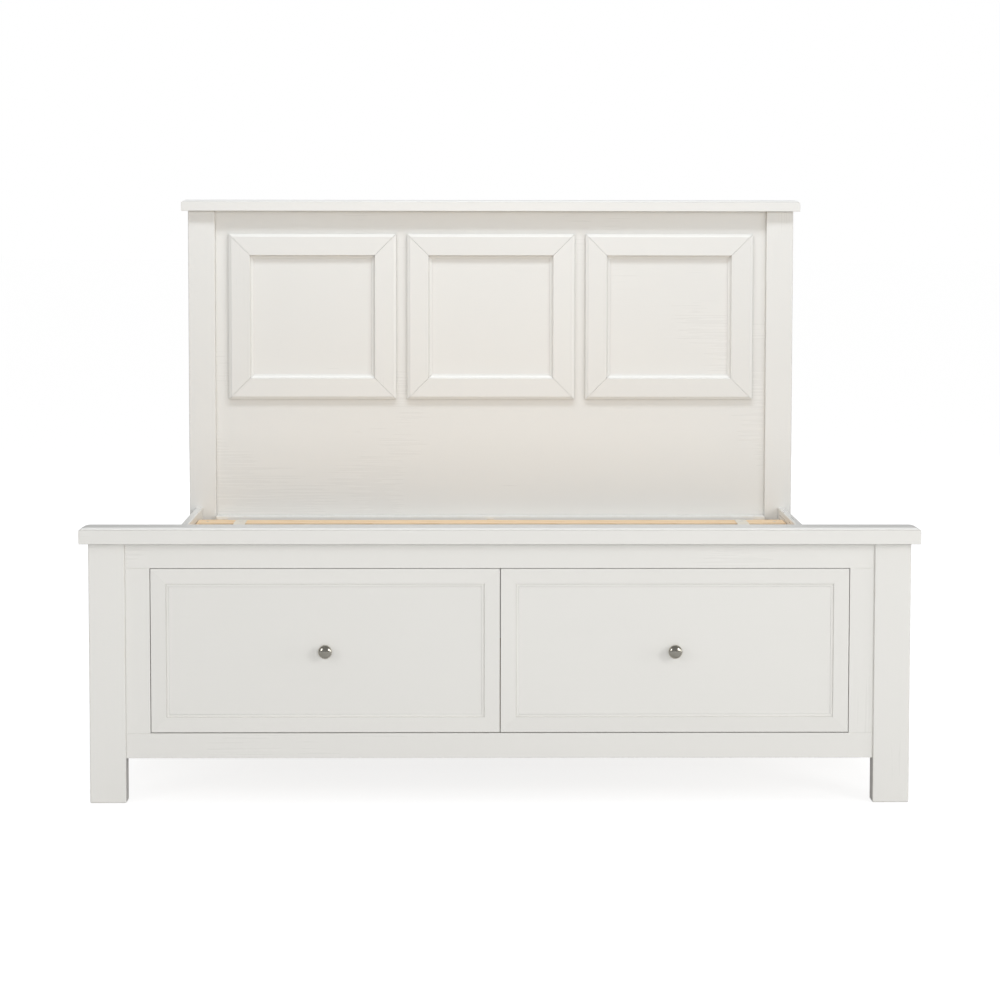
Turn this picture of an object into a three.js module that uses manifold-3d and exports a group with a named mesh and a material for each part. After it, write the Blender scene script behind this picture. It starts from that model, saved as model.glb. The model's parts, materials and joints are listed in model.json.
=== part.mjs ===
// A painted king-size wooden bed frame for a 1500 x 2000 mattress, in millimetres.
//
// +Z is up, the headboard stands at +Y and the foot end with its two drawers at -Y. +X is on the right
// of someone who stands at the foot and looks at the headboard. The origin is on the floor, under the
// middle of the frame. Boards that touch keep a hairline gap.

import * as THREE from 'three';
import { mergeVertices } from 'three/addons/utils/BufferGeometryUtils.js';
import Module from 'manifold-3d';

const wasm = await Module();
wasm.setup();

// ---------------------------------------------------------------- driving dimensions

const GAP = 0.3;                  // hairline gap between boards that touch
const CURVE_SEGMENTS = 7;         // in the ovolo of a cap
const EASE = 2;                   // eased edge on painted boards
const THIN_EASE = 1;              // eased edge on thin boards and bare wood
const HALF_LENGTH = 1057;         // middle of the frame to the back of the headboard
const HALF_WIDTH = 793;           // middle of the frame to the outer face of a post
const POST_WIDTH = 70;
const POST_DEPTH = 42;
const HEAD_POST_HEIGHT = 1143;
const FOOT_POST_HEIGHT = 506;

const HEAD_CAP_THICKNESS = 29;
const FOOT_CAP_THICKNESS = 32;
const CAP_DEPTH = 62;
const CAP_SIDE_OVERHANG = 16;
const CAP_FRONT_OVERHANG = CAP_DEPTH - POST_DEPTH;
const CAP_EDGE_EASE = 1.2;
const OVOLO_HEIGHT = 5.3;         // rounded moulding along the top of a cap's front and ends
const OVOLO_WIDTH = 15;
const OVOLO_LEDGE = 2;

const FRAME_THICKNESS = 22;       // face frame round the drawers
const FRAME_SETBACK = 5;          // the face frame sits this far behind the front of the foot posts
const TOP_RAIL_BOTTOM = 457;
const BOTTOM_RAIL = [87, 135.7];
const STILE_WIDTH = 47.2;
const STOP_BOARD_THICKNESS = 14.7; // board behind the drawers that holds the mattress in
const STOP_BOARD_BOTTOM = 318;

const SIDE_RAIL_X = [758.5, 777];
const SIDE_RAIL_Z = [199, 363];
const LEDGE_X = 690.3;
const SLAT_THICKNESS = 12;
const SLAT_BOTTOM = 334;
const SLAT_WIDTH = 84;
const SLAT_COUNT = 12;
const SLAT_EASE = 1.5;
const SLAT_END_CLEARANCE = 2.5;   // between a slat's end and the side rail
const SLAT_PITCH = 160;
const FIRST_SLAT_Y = 829;
const LEDGE_THICKNESS = 25;
const TAPE_X = 644;
const TAPE_WIDTH = 30;
const TAPE_THICKNESS = 1.2;
const TAPE_EASE = 0.3;
const TAPE_OVERRUN = 34;          // the tape ends this far past the middle of the outermost slats
const BEAM_HALF_WIDTH = 10;
const BEAM_DEPTH = 60;
const SUPPORT_LEG_WIDTH = 40;
const SUPPORT_LEG_Y = 150;

const HEAD_PANEL_THICKNESS = 18;
const HEAD_PANEL_RECESS = 13;     // the panel sits this far behind the front of the head posts
const HEAD_PANEL_BOTTOM = 240;
const CROSS_RAIL_Y = 993;
const CROSS_RAIL_Z = [283, 343];
const MOULDING_THICKNESS = 11.7;
const MOULDING_SLOPE_WIDTH = 7;   // slope down to the panel outside the flat face, below a small step
const MOULDING_SLOPE_DEPTHS = [1.5, 6.5]; // its upper and lower edges, measured back from the flat face
const MOULDING_FLAT_WIDTH = 48.5;
const MOULDING_COVE = [9.5, 10.5]; // hollow inside the flat face: its width and depth
const MOULDING_COVE_STEPS = 5;
const MOULDING_WIDTH = MOULDING_SLOPE_WIDTH + MOULDING_FLAT_WIDTH + MOULDING_COVE[0];
const MITRE_GAP = 0.2;
const SQUARE_WIDTH = 439;
const SQUARE_HEIGHT = 434;
const SQUARE_PITCH = 468.25;
const SQUARE_CENTRE_Z = 866;

const DRAWER_FRONT_X = [0.8, 674.6];
const DRAWER_FRONT_Z = [137.2, 456];
const DRAWER_FRONT_THICKNESS = 20;
const DRAWER_BORDER = 29.5;         // raised border round the sunk field of a drawer front
const DRAWER_FIELD_DEPTH = 3;
const DRAWER_FIELD_SLOPE = 3.5;   // width of the slope from the border down to the field
const DRAWER_BOX_X = [11, 671];
const DRAWER_BOX_Z = [145, 305];
const DRAWER_BOX_LENGTH = 600;
const DRAWER_BOARD = 15;
const DRAWER_BASE_Z = [150, 158];
const DRAWER_BASE_EASE = 0.5;
const GROOVE_DEPTH = 7;
const GROOVE_Z = [215, 231.6];
const RUNNER_Z = [216.4, 231.2];
const RUNNER_CLEARANCE = 1;       // between a runner and the bottom of its groove
const RUNNER_BOARD_X = [672, 690];
const RUNNER_BOARD_BOTTOM = 190;
const RUNNER_END_Y = -400;
const PARTITION_BOTTOM = 88;

const KNOB_RADIUS = 13.5;
const KNOB_HEIGHT = 26;
const KNOB_RIM_HEIGHT = 19;       // from the back of the knob to the widest part of its head
const KNOB_RIM_ROUND = 1.2;
const KNOB_NECK_RADIUS = 5.2;
const KNOB_NECK_START = 6;        // height where the neck is thinnest
const KNOB_FOOT_RADIUS = 8.5;
const KNOB_FOOT_HEIGHT = 1.6;
const KNOB_Z = 296.6;

// places that follow from them
const HEAD_FRONT = HALF_LENGTH - POST_DEPTH;
const FOOT_CAP_FRONT = -HALF_LENGTH;
const FOOT_FRONT = FOOT_CAP_FRONT + CAP_FRONT_OVERHANG;
const FOOT_BACK = FOOT_FRONT + POST_DEPTH;
const POST_INNER = HALF_WIDTH - POST_WIDTH;
const FRAME_FRONT = FOOT_FRONT + FRAME_SETBACK;
const FRAME_BACK = FRAME_FRONT + FRAME_THICKNESS;
const STOP_BOARD_BACK = FRAME_BACK + GAP + STOP_BOARD_THICKNESS;
const HEAD_PANEL_FRONT = HEAD_FRONT + HEAD_PANEL_RECESS;
const SLAT_TOP = SLAT_BOTTOM + SLAT_THICKNESS;
const BEAM_BOTTOM = SLAT_BOTTOM - GAP - BEAM_DEPTH;

// ---------------------------------------------------------------- finishes

const finish = (color, roughness, metalness) => () =>
  new THREE.MeshStandardMaterial({ color, roughness, metalness });
const whitePaint = finish(0xe9e7e1, 0.42, 0);
const drawerPaint = finish(0xe6e4de, 0.45, 0);
const slatWood = finish(0xe3c08c, 0.6, 0);
const drawerWood = finish(0xd9c6a2, 0.6, 0);
const webbing = finish(0xe8e0cf, 0.9, 0);
const nickel = finish(0x9a968c, 0.22, 1);

// ---------------------------------------------------------------- solids

const middle = ([low, high]) => (low + high) / 2;
const length = ([low, high]) => high - low;

// A range on one side of the frame: side is +1 on the right and -1 on the left.
const onSide = (side, [inner, outer]) => (side > 0 ? [inner, outer] : [-outer, -inner]);

// A closed manifold solid from a three.js geometry.
function toSolid(geometry) {
  const bare = geometry.clone();
  bare.deleteAttribute('normal');
  bare.deleteAttribute('uv');
  const merged = mergeVertices(bare, 1e-4);
  const mesh = new wasm.Mesh({
    numProp: 3,
    vertProperties: new Float32Array(merged.attributes.position.array),
    triVerts: new Uint32Array(merged.index.array),
  });
  return new wasm.Manifold(mesh);
}

// A three.js geometry from a manifold solid.
function toGeometry(solid) {
  const mesh = solid.getMesh();
  const geometry = new THREE.BufferGeometry();
  geometry.setAttribute('position', new THREE.BufferAttribute(new Float32Array(mesh.vertProperties), 3));
  geometry.setIndex(new THREE.BufferAttribute(new Uint32Array(mesh.triVerts), 1));
  geometry.computeVertexNormals();
  return geometry;
}

// A board of the given size, centred on its origin, with all its edges eased.
function easedBoard(width, depth, height, ease) {
  const x = width / 2 - ease;
  const y = depth / 2 - ease;
  const cut = (Math.SQRT2 - 1) * ease;
  const corners = [[x - cut, -y], [x, cut - y], [x, y - cut], [x - cut, y],
    [cut - x, y], [-x, y - cut], [-x, cut - y], [cut - x, -y]];
  const plan = new THREE.Shape(corners.map(([u, v]) => new THREE.Vector2(u, v)));
  const geometry = new THREE.ExtrudeGeometry(plan, {
    depth: height - 2 * ease, bevelThickness: ease, bevelSize: ease, bevelSegments: 1,
  });
  return geometry.translate(0, 0, ease - height / 2);
}

// An outline extruded along Z and centred.
function extrudeUp(outline, span) {
  const geometry = new THREE.ExtrudeGeometry(outline, {
    depth: span, bevelEnabled: false, curveSegments: CURVE_SEGMENTS,
  });
  return geometry.translate(0, 0, -span / 2);
}

// An outline extruded along X and centred: its first coordinate lies along Y and its second along Z.
function extrudeAlongX(outline, span) {
  return extrudeUp(outline, span).rotateX(Math.PI / 2).rotateZ(Math.PI / 2);
}

// An outline extruded along Y and centred: its first coordinate lies along X and its second along Z.
function extrudeAlongY(outline, span) {
  return extrudeUp(outline, span).rotateX(Math.PI / 2);
}

function outlineOf(points) {
  return new THREE.Shape(points.map(([u, v]) => new THREE.Vector2(u, v)));
}

// ---------------------------------------------------------------- building the scene graph

function addPart(group, name, geometry, material, position) {
  const mesh = new THREE.Mesh(geometry, material());
  mesh.name = name;
  mesh.position.set(...position);
  group.add(mesh);
  return mesh;
}

// A board that fills the given ranges along X, Y and Z.
function addBoard(group, name, material, x, y, z, ease = EASE) {
  const geometry = easedBoard(length(x), length(y), length(z), ease);
  return addPart(group, name, geometry, material, [middle(x), middle(y), middle(z)]);
}

// ---------------------------------------------------------------- caps

// One edge of a cap's cross-section: up the front face, over the ledge and round the ovolo.
// edge is the place of the front face, and inward is +1 or -1 towards the cap's middle.
function capEdge(outline, thickness, edge, inward) {
  const faceTop = thickness - OVOLO_HEIGHT;
  const ovoloStart = edge + inward * OVOLO_LEDGE;
  const ovoloEnd = ovoloStart + inward * OVOLO_WIDTH;
  outline.lineTo(edge + inward * CAP_EDGE_EASE, 0);
  outline.lineTo(edge, CAP_EDGE_EASE);
  outline.lineTo(edge, faceTop - CAP_EDGE_EASE);
  outline.lineTo(edge + inward * CAP_EDGE_EASE, faceTop);
  outline.lineTo(ovoloStart, faceTop);
  const start = inward > 0 ? Math.PI : 0;
  outline.absellipse(ovoloEnd, faceTop, OVOLO_WIDTH, OVOLO_HEIGHT, start, Math.PI / 2, inward > 0);
}

// A cap with the moulding on its front and both ends, and a plain back: its long section along X and its
// end section along Y meet in mitred corners.
function capGeometry(thickness) {
  const halfDepth = CAP_DEPTH / 2;
  const frontSection = new THREE.Shape();
  frontSection.moveTo(halfDepth, 0);
  capEdge(frontSection, thickness, -halfDepth, 1);
  frontSection.lineTo(halfDepth, thickness);
  const halfSpan = HALF_WIDTH + CAP_SIDE_OVERHANG;
  const leftEdge = new THREE.Shape();
  leftEdge.moveTo(1, 0);
  capEdge(leftEdge, thickness, -halfSpan, 1);
  const leftPoints = leftEdge.getPoints(CURVE_SEGMENTS).slice(1);
  const rightPoints = leftPoints.map((p) => new THREE.Vector2(-p.x, p.y)).reverse();
  const endSection = new THREE.Shape([...leftPoints, ...rightPoints]);
  const long = toSolid(extrudeAlongX(frontSection, 2 * halfSpan + 2));
  const ends = toSolid(extrudeAlongY(endSection, CAP_DEPTH + 2));
  return toGeometry(long.intersect(ends));
}

// ---------------------------------------------------------------- headboard

// A straight strip of moulding with mitred ends, lying along X. Its outer edge is at the top, and its
// flat face looks to -Y.
function mouldingStrip(outerLength) {
  const w = MOULDING_WIDTH / 2;
  const t = MOULDING_THICKNESS / 2;
  const [coveWidth, coveDepth] = MOULDING_COVE;
  const flatTop = w - MOULDING_SLOPE_WIDTH;
  const points = [[t, -w], [t, w], [MOULDING_SLOPE_DEPTHS[1] - t, w], [MOULDING_SLOPE_DEPTHS[0] - t, flatTop],
    [-t, flatTop]];
  for (let step = 0; step <= MOULDING_COVE_STEPS; step += 1) {
    const angle = (Math.PI / 2) * (step / MOULDING_COVE_STEPS);
    points.push([coveDepth * Math.sin(angle) - t, coveWidth * Math.cos(angle) - w]);
  }
  const section = outlineOf(points);
  const outer = outerLength / 2 - MITRE_GAP;
  const inner = outer - MOULDING_WIDTH;
  const mitres = outlineOf([[-inner, -w - 1], [inner, -w - 1], [inner, -w], [outer, w], [outer, w + 1],
    [-outer, w + 1], [-outer, w], [-inner, -w]]);
  const strip = toSolid(extrudeAlongX(section, outerLength));
  const cutter = toSolid(extrudeAlongY(mitres, MOULDING_THICKNESS + 2));
  return toGeometry(strip.intersect(cutter));
}

// Four strips mitred into a square round a panel field.
function addMouldingSquare(group, place, centreX) {
  const y = HEAD_PANEL_FRONT - GAP - MOULDING_THICKNESS / 2;
  const sides = [['top', SQUARE_WIDTH, SQUARE_HEIGHT, 0], ['left', SQUARE_HEIGHT, SQUARE_WIDTH, 1],
    ['bottom', SQUARE_WIDTH, SQUARE_HEIGHT, 2], ['right', SQUARE_HEIGHT, SQUARE_WIDTH, 3]];
  for (const [side, span, across, turn] of sides) {
    const reach = (across - MOULDING_WIDTH) / 2;
    const angle = turn * Math.PI / 2;
    const x = centreX - Math.sin(angle) * reach;
    const z = SQUARE_CENTRE_Z + Math.cos(angle) * reach;
    const name = `moulding_${place}_${side}`;
    const strip = addPart(group, name, mouldingStrip(span), whitePaint, [x, y, z]);
    strip.rotation.y = -angle;
  }
}

function headboard() {
  const group = new THREE.Group();
  const posts = [HEAD_FRONT, HALF_LENGTH];
  for (const [word, side] of [['left', -1], ['right', 1]]) {
    addBoard(group, `head_post_${word}`, whitePaint, onSide(side, [POST_INNER, HALF_WIDTH]), posts,
      [0, HEAD_POST_HEIGHT - GAP]);
  }
  const capY = HALF_LENGTH - CAP_DEPTH / 2;
  addPart(group, 'head_cap', capGeometry(HEAD_CAP_THICKNESS), whitePaint, [0, capY, HEAD_POST_HEIGHT]);
  const panelHalf = POST_INNER - GAP;
  addBoard(group, 'head_panel', whitePaint, [-panelHalf, panelHalf],
    [HEAD_PANEL_FRONT, HEAD_PANEL_FRONT + HEAD_PANEL_THICKNESS],
    [HEAD_PANEL_BOTTOM, HEAD_POST_HEIGHT - GAP], THIN_EASE);
  addBoard(group, 'head_cross_rail', whitePaint, [-panelHalf, panelHalf],
    [CROSS_RAIL_Y, HEAD_PANEL_FRONT - GAP], CROSS_RAIL_Z);
  addMouldingSquare(group, 'left', -SQUARE_PITCH);
  addMouldingSquare(group, 'centre', 0);
  addMouldingSquare(group, 'right', SQUARE_PITCH);
  return group;
}

// ---------------------------------------------------------------- foot end

function footEnd() {
  const group = new THREE.Group();
  const innerHalf = POST_INNER - GAP;
  const across = [-innerHalf, innerHalf];
  const frame = [FRAME_FRONT, FRAME_BACK];
  for (const [word, side] of [['left', -1], ['right', 1]]) {
    addBoard(group, `foot_post_${word}`, whitePaint, onSide(side, [POST_INNER, HALF_WIDTH]),
      [FOOT_FRONT, FOOT_BACK], [0, FOOT_POST_HEIGHT - GAP]);
    addBoard(group, `foot_stile_${word}`, whitePaint,
      onSide(side, [POST_INNER - STILE_WIDTH, innerHalf]), frame,
      [BOTTOM_RAIL[1] + GAP, TOP_RAIL_BOTTOM - GAP], THIN_EASE);
  }
  const capY = FOOT_CAP_FRONT + CAP_DEPTH / 2;
  addPart(group, 'foot_cap', capGeometry(FOOT_CAP_THICKNESS), whitePaint, [0, capY, FOOT_POST_HEIGHT]);
  addBoard(group, 'foot_top_rail', whitePaint, across, frame,
    [TOP_RAIL_BOTTOM, FOOT_POST_HEIGHT - GAP], THIN_EASE);
  addBoard(group, 'foot_bottom_rail', whitePaint, across, frame, BOTTOM_RAIL, THIN_EASE);
  addBoard(group, 'mattress_stop_board', whitePaint, across, [FRAME_BACK + GAP, STOP_BOARD_BACK],
    [STOP_BOARD_BOTTOM, FOOT_POST_HEIGHT - GAP], THIN_EASE);
  return group;
}

// ---------------------------------------------------------------- mattress base

function slatY(index) {
  return FIRST_SLAT_Y - index * SLAT_PITCH;
}

function mattressBase() {
  const group = new THREE.Group();
  const railY = [FOOT_BACK + GAP, HEAD_FRONT - GAP];
  const innerY = [FOOT_BACK + GAP, CROSS_RAIL_Y - GAP];
  const ledgeTop = SLAT_BOTTOM - GAP;
  for (const [word, side] of [['left', -1], ['right', 1]]) {
    addBoard(group, `side_rail_${word}`, whitePaint, onSide(side, SIDE_RAIL_X), railY, SIDE_RAIL_Z);
    addBoard(group, `slat_ledge_${word}`, slatWood, onSide(side, [LEDGE_X, SIDE_RAIL_X[0] - GAP]),
      innerY, [ledgeTop - LEDGE_THICKNESS, ledgeTop], THIN_EASE);
    addBoard(group, `slat_tape_${word}`, webbing,
      onSide(side, [TAPE_X - TAPE_WIDTH / 2, TAPE_X + TAPE_WIDTH / 2]),
      [slatY(SLAT_COUNT - 1) - TAPE_OVERRUN, slatY(0) + TAPE_OVERRUN],
      [SLAT_TOP + GAP, SLAT_TOP + GAP + TAPE_THICKNESS], TAPE_EASE);
  }
  addBoard(group, 'centre_beam', slatWood, [-BEAM_HALF_WIDTH, BEAM_HALF_WIDTH], innerY,
    [BEAM_BOTTOM, ledgeTop], THIN_EASE);
  addBoard(group, 'centre_support_leg', slatWood, [-SUPPORT_LEG_WIDTH / 2, SUPPORT_LEG_WIDTH / 2],
    [SUPPORT_LEG_Y - SUPPORT_LEG_WIDTH / 2, SUPPORT_LEG_Y + SUPPORT_LEG_WIDTH / 2],
    [0, BEAM_BOTTOM - GAP]);
  const slatHalf = SIDE_RAIL_X[0] - SLAT_END_CLEARANCE;
  for (let index = 0; index < SLAT_COUNT; index += 1) {
    const y = slatY(index);
    addBoard(group, `slat_${String(index + 1).padStart(2, '0')}`, slatWood, [-slatHalf, slatHalf],
      [y - SLAT_WIDTH / 2, y + SLAT_WIDTH / 2], [SLAT_BOTTOM, SLAT_TOP], SLAT_EASE);
  }
  return group;
}

// ---------------------------------------------------------------- drawer runners

// A board beside a drawer with its runner standing proud on the drawer's side. The front of its upper
// edge is notched round the mattress stop board.
function runnerBoardGeometry(side, frontY, topZ) {
  const inner = side * RUNNER_BOARD_X[0];
  const outer = side * RUNNER_BOARD_X[1];
  const tip = side * (DRAWER_BOX_X[1] - GROOVE_DEPTH + RUNNER_CLEARANCE);
  const section = [[outer, RUNNER_BOARD_BOTTOM], [outer, topZ], [inner, topZ], [inner, RUNNER_Z[1]],
    [tip, RUNNER_Z[1]], [tip, RUNNER_Z[0]], [inner, RUNNER_Z[0]], [inner, RUNNER_BOARD_BOTTOM]];
  const board = toSolid(extrudeAlongY(outlineOf(section), RUNNER_END_Y - frontY));
  const notchDepth = STOP_BOARD_BACK + GAP - frontY;
  const notchHeight = topZ - STOP_BOARD_BOTTOM + GAP;
  const notch = new THREE.BoxGeometry(2 * length(RUNNER_BOARD_X), 2 * notchDepth, 2 * notchHeight);
  notch.translate((inner + outer) / 2, (frontY - RUNNER_END_Y) / 2, topZ);
  return toGeometry(board.subtract(toSolid(notch)));
}

function drawerRunners() {
  const group = new THREE.Group();
  const frontY = FRAME_BACK + GAP;
  const y = (frontY + RUNNER_END_Y) / 2;
  for (const [word, side] of [['left', -1], ['right', 1]]) {
    const board = runnerBoardGeometry(side, frontY, SLAT_BOTTOM - GAP);
    addPart(group, `runner_board_${word}`, board, drawerWood, [0, y, 0]);
  }
  const tip = DRAWER_BOX_X[0] + GROOVE_DEPTH - RUNNER_CLEARANCE;
  const half = BEAM_HALF_WIDTH;
  const top = BEAM_BOTTOM - GAP;
  const rightHalf = [[half, PARTITION_BOTTOM], [half, RUNNER_Z[0]], [tip, RUNNER_Z[0]], [tip, RUNNER_Z[1]],
    [half, RUNNER_Z[1]], [half, top]];
  const leftHalf = rightHalf.map(([x, z]) => [-x, z]).reverse();
  const section = outlineOf([...rightHalf, ...leftHalf]);
  addPart(group, 'centre_partition', extrudeAlongY(section, RUNNER_END_Y - frontY), drawerWood, [0, y, 0]);
  return group;
}

// ---------------------------------------------------------------- drawers

// The front board with a field sunk inside its border.
function drawerFrontGeometry() {
  const width = length(DRAWER_FRONT_X);
  const height = length(DRAWER_FRONT_Z);
  const thickness = DRAWER_FRONT_THICKNESS;
  const board = toSolid(easedBoard(width, thickness, height, THIN_EASE));
  const step = DRAWER_FIELD_DEPTH;
  const x = width / 2 - DRAWER_BORDER - DRAWER_FIELD_SLOPE;
  const z = height / 2 - DRAWER_BORDER - DRAWER_FIELD_SLOPE;
  const field = outlineOf([[-x, -z], [x, -z], [x, z], [-x, z]]);
  // the pocket narrows towards its floor, so the sunk field has sloping edges
  const pocket = new THREE.ExtrudeGeometry(field, {
    depth: 1, bevelThickness: step, bevelSize: DRAWER_FIELD_SLOPE, bevelSegments: 1,
  });
  pocket.rotateX(Math.PI / 2).translate(0, -thickness / 2, 0);
  return toGeometry(board.subtract(toSolid(pocket)));
}

// A drawer side with the groove that its runner slides in. outward is +1 or -1 along X.
function drawerSideGeometry(outward) {
  const face = outward * DRAWER_BOARD / 2;
  const floor = face - outward * GROOVE_DEPTH;
  const section = outlineOf([[-face, DRAWER_BOX_Z[0]], [face, DRAWER_BOX_Z[0]], [face, GROOVE_Z[0]],
    [floor, GROOVE_Z[0]], [floor, GROOVE_Z[1]], [face, GROOVE_Z[1]], [face, DRAWER_BOX_Z[1]],
    [-face, DRAWER_BOX_Z[1]]]);
  return extrudeAlongY(section, DRAWER_BOX_LENGTH);
}

// A turned knob on a waisted neck, with its axis along -Y and its back on the origin.
function knobGeometry() {
  const underRim = KNOB_RIM_HEIGHT - KNOB_RIM_ROUND;
  const domeHeight = KNOB_HEIGHT - KNOB_RIM_HEIGHT;
  const profile = new THREE.Path();
  profile.moveTo(0, 0);
  profile.lineTo(KNOB_FOOT_RADIUS, 0);
  profile.lineTo(KNOB_FOOT_RADIUS, KNOB_FOOT_HEIGHT);
  profile.quadraticCurveTo(KNOB_NECK_RADIUS, KNOB_FOOT_HEIGHT, KNOB_NECK_RADIUS, KNOB_NECK_START);
  profile.quadraticCurveTo(KNOB_NECK_RADIUS, underRim, KNOB_RADIUS - KNOB_RIM_ROUND, underRim);
  profile.quadraticCurveTo(KNOB_RADIUS, underRim, KNOB_RADIUS, KNOB_RIM_HEIGHT);
  profile.absellipse(0, KNOB_RIM_HEIGHT, KNOB_RADIUS, domeHeight, 0, Math.PI / 2, false);
  const points = profile.getPoints(5);
  points[points.length - 1].x = 0;
  return new THREE.LatheGeometry(points, 28).rotateX(Math.PI);
}

function drawer(word, side) {
  const group = new THREE.Group();
  const frontY = FRAME_FRONT;
  const boxFront = frontY + DRAWER_FRONT_THICKNESS + GAP;
  const boxBack = boxFront + DRAWER_BOX_LENGTH;
  const [inner, outer] = DRAWER_BOX_X;
  const name = (piece) => `drawer_${word}_${piece}`;
  addPart(group, name('front'), drawerFrontGeometry(), drawerPaint,
    [side * middle(DRAWER_FRONT_X), frontY + DRAWER_FRONT_THICKNESS / 2, middle(DRAWER_FRONT_Z)]);
  const boxY = (boxFront + boxBack) / 2;
  addPart(group, name('inner_side'), drawerSideGeometry(-side), drawerWood,
    [side * (inner + DRAWER_BOARD / 2), boxY, 0]);
  addPart(group, name('outer_side'), drawerSideGeometry(side), drawerWood,
    [side * (outer - DRAWER_BOARD / 2), boxY, 0]);
  const between = onSide(side, [inner + DRAWER_BOARD + GAP, outer - DRAWER_BOARD - GAP]);
  addBoard(group, name('base'), drawerWood, between, [boxFront, boxBack], DRAWER_BASE_Z, DRAWER_BASE_EASE);
  addBoard(group, name('back'), drawerWood, between, [boxBack - DRAWER_BOARD, boxBack],
    [DRAWER_BASE_Z[1] + GAP, DRAWER_BOX_Z[1]], THIN_EASE);
  addPart(group, name('knob'), knobGeometry(), nickel,
    [side * middle(DRAWER_FRONT_X), frontY + DRAWER_FIELD_DEPTH - GAP, KNOB_Z]);
  return group;
}

// ---------------------------------------------------------------- the bed frame

const bedFrame = new THREE.Group();
bedFrame.add(headboard(), footEnd(), mattressBase(), drawerRunners());
bedFrame.add(drawer('left', -1), drawer('right', 1));

export default bedFrame;
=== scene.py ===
"""The looks of a painted wooden bed frame with two drawers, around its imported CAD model. Metres, +Z up."""

import json
import math
import random

import bmesh
import bpy
from mathutils import Matrix, Vector


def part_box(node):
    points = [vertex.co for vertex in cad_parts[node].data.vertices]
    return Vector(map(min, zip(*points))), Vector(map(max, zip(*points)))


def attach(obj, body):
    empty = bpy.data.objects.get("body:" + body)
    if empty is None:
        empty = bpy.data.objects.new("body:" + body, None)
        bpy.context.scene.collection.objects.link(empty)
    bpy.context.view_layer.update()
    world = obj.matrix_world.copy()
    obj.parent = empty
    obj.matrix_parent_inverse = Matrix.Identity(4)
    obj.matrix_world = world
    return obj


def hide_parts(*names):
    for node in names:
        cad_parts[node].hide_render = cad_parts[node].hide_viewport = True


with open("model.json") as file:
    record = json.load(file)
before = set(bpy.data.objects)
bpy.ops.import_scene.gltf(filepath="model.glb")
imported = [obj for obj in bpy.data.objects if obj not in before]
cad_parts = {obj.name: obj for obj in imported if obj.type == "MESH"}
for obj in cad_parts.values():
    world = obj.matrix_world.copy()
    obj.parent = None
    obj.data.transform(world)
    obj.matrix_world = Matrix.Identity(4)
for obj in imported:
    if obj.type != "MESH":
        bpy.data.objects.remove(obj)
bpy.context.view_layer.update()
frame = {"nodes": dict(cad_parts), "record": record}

RECORD = frame["record"]
NODE_BODY = {n: body for body, names in RECORD["behaviour"]["bodies"].items() for n in names}
SLAT_NODES = [n for n in sorted(NODE_BODY) if n.startswith("slat_") and n[5:].isdigit()]
AXES = {"x": 0, "y": 1, "z": 2}
MM = 0.001
draw = random.Random(20)

# the heights of the surfaces' fine relief
PAINT_GRAIN_RELIEF = 0.006 * MM
PAINT_DRAG_RELIEF = 0.004 * MM
PAINT_PEEL_RELIEF = 0.025 * MM
WOOD_RING_RELIEF = 0.06 * MM
WOOD_FIBRE_RELIEF = 0.05 * MM
WOOD_FLECK_RELIEF = 0.04 * MM
WEAVE_RELIEF = 0.25 * MM
POLISH_RELIEF = 0.004 * MM

# the gap between boards that touch, here under the paint that bridges it and in the CAD model
JOINT_GAP = 0.06 * MM
CAD_GAP = 0.3 * MM

# edge roundings, and the radius at which a turned piece closes on its axis
POST_ROUND = 2.2 * MM
FACE_FRAME_ROUND = 0.5 * MM
PANEL_ROUND = 0.8 * MM
CROSS_RAIL_ROUND = 4.2 * MM
RAIL_ROUND = 3.0 * MM
SLAT_ROUND = 2.6 * MM
BOX_ROUND = 1.2 * MM
DRAWER_BASE_ROUND = 0.5 * MM
AXIS = 0.01 * MM
SHARP_ANGLE = 28                  # degrees, beyond which an edge is rounded

SLAT_SIDE_PAINTED_SHADE = 0.64             # painted shade: the slats' upright sides are darkened to stand in for the shade they lie in
CUT_END_WEAR = 0.6                # paint rubs off a mitre's edges less than off a rounded one

# the tapes over the slats, and their staples as (length, width, height)
TAPE_DIP = 1.6 * MM
TAPE_STEPS = 420
STAPLE = Vector((10, 1.2, 0.9)) * MM
STAPLE_SUNK = 0.5 * MM
STAPLE_ROUND = 0.35 * MM
STAPLE_SHARES = (0.3, 0.7)        # of a slat's width
STAPLE_SCATTER = (2.5 * MM, 2 * MM)

# the caps' moulding, as in the CAD model
OVOLO_HEIGHT = 5.3 * MM
OVOLO_WIDTH = 15 * MM
OVOLO_LEDGE = 2 * MM
CAP_EDGE_ROUND = 1.1 * MM
CAP_LIP_ROUND = 0.35 * MM
QUIRK_HEIGHT = 0.5 * MM
QUIRK_DEPTH = 0.9 * MM
OVOLO_START = 25                  # degrees of its ellipse left out below, so that it starts on a slope

# the headboard's mouldings, from the outer edge inwards: a slope, with its depths at the face and at
# the edge, a flat face, and a cove with its width and depth
MOULDING_MITRE_GAP = 0.1 * MM
MOULDING_END_EASE = 0.25 * MM
MOULDING_ARRIS = 0.35 * MM
MOULDING_SLOPE_WIDTH = 7 * MM
MOULDING_SLOPE_DEPTHS = (1.2 * MM, 3.3 * MM)
MOULDING_STEP_LEAN = 0.2 * MM
MOULDING_COVE = (9.5 * MM, 10.5 * MM)

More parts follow.
